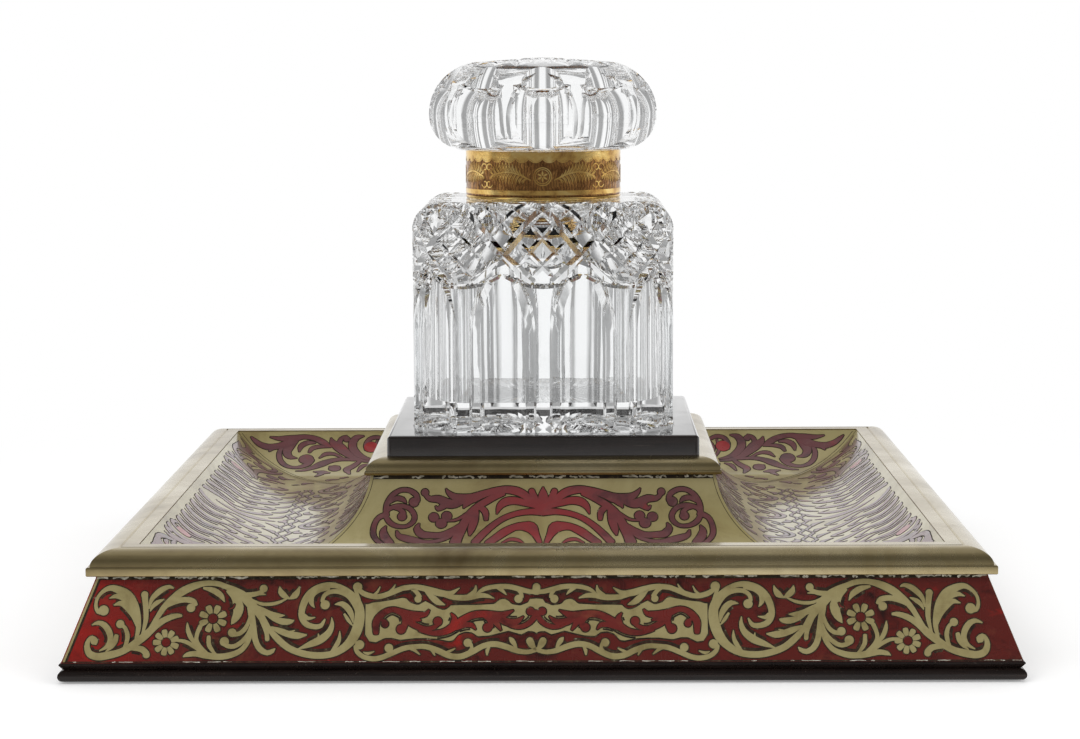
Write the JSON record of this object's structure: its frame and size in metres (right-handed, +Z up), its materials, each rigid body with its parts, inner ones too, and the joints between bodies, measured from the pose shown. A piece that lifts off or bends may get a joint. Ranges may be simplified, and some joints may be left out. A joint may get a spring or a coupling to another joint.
{
  "type": "desk inkstand",
  "caption": "Square inkstand with sloping inlaid sides, a brass rim, a coved pen tray round a pedestal, and a square cut-glass bottle with a hinged round lid.",
  "frame": {"origin": "centre of the underside of the cloth pad, on the surface the stand rests on", "axes": "+Z up, -Y toward the front, +X to the right seen from the front; the lid's hinge is at +Y"},
  "size_m": [0.28, 0.28, 0.1798],
  "materials": {
    "ebonised_wood": "black stained and polished, worn at the edges",
    "carcase_wood": "bare softwood",
    "shell_marquetry": "red tortoiseshell ground with brass scroll inlay",
    "brass_marquetry": "brass ground with tortoiseshell scroll inlay",
    "aged_brass": "aged brushed brass",
    "gilt_brass": "gilt, engraved with foliage",
    "cut_glass": "clear, wheel cut and polished",
    "steel": "plain",
    "baize": "green felted cloth"
  },
  "bodies": {
    "stand": {"baize_pad": "baize", "bottom_board": "carcase_wood", "board_screws": "steel", "pedestal_core": "carcase_wood", "bottle_plinth": "ebonised_wood", "base_moulding_front": "ebonised_wood", "base_moulding_right": "ebonised_wood", "base_moulding_back": "ebonised_wood", "base_moulding_left": "ebonised_wood", "side_rail_front": "carcase_wood", "side_rail_right": "carcase_wood", "side_rail_back": "carcase_wood", "side_rail_left": "carcase_wood", "side_panel_front": "shell_marquetry", "side_panel_right": "shell_marquetry", "side_panel_back": "shell_marquetry", "side_panel_left": "shell_marquetry", "rim_moulding_front": "aged_brass", "rim_moulding_right": "aged_brass", "rim_moulding_back": "aged_brass", "rim_moulding_left": "aged_brass", "cove_rail_front": "carcase_wood", "cove_rail_right": "carcase_wood", "cove_rail_back": "carcase_wood", "cove_rail_left": "carcase_wood", "tray_sheet_front": "brass_marquetry", "tray_sheet_right": "brass_marquetry", "tray_sheet_back": "brass_marquetry", "tray_sheet_left": "brass_marquetry", "pedestal_moulding_front": "aged_brass", "pedestal_moulding_right": "aged_brass", "pedestal_moulding_back": "aged_brass", "pedestal_moulding_left": "aged_brass"},
    "bottle": {"glass_bottle": "cut_glass", "neck_ring": "gilt_brass", "hinge_pin": "gilt_brass"},
    "lid": {"lid_band": "gilt_brass", "glass_lid": "cut_glass"}
  },
  "joints": [
    {"name": "bottle_lift", "type": "slide", "parent": "stand", "child": "bottle", "axis": [0, 0, 1], "range_m": [0, 0.06]},
    {"name": "lid_hinge", "type": "hinge", "parent": "bottle", "child": "lid", "pos_m": [0, 0.0277, 0.1349], "axis": [-1, 0, 0], "range_deg": [0, 100]}
  ]
}
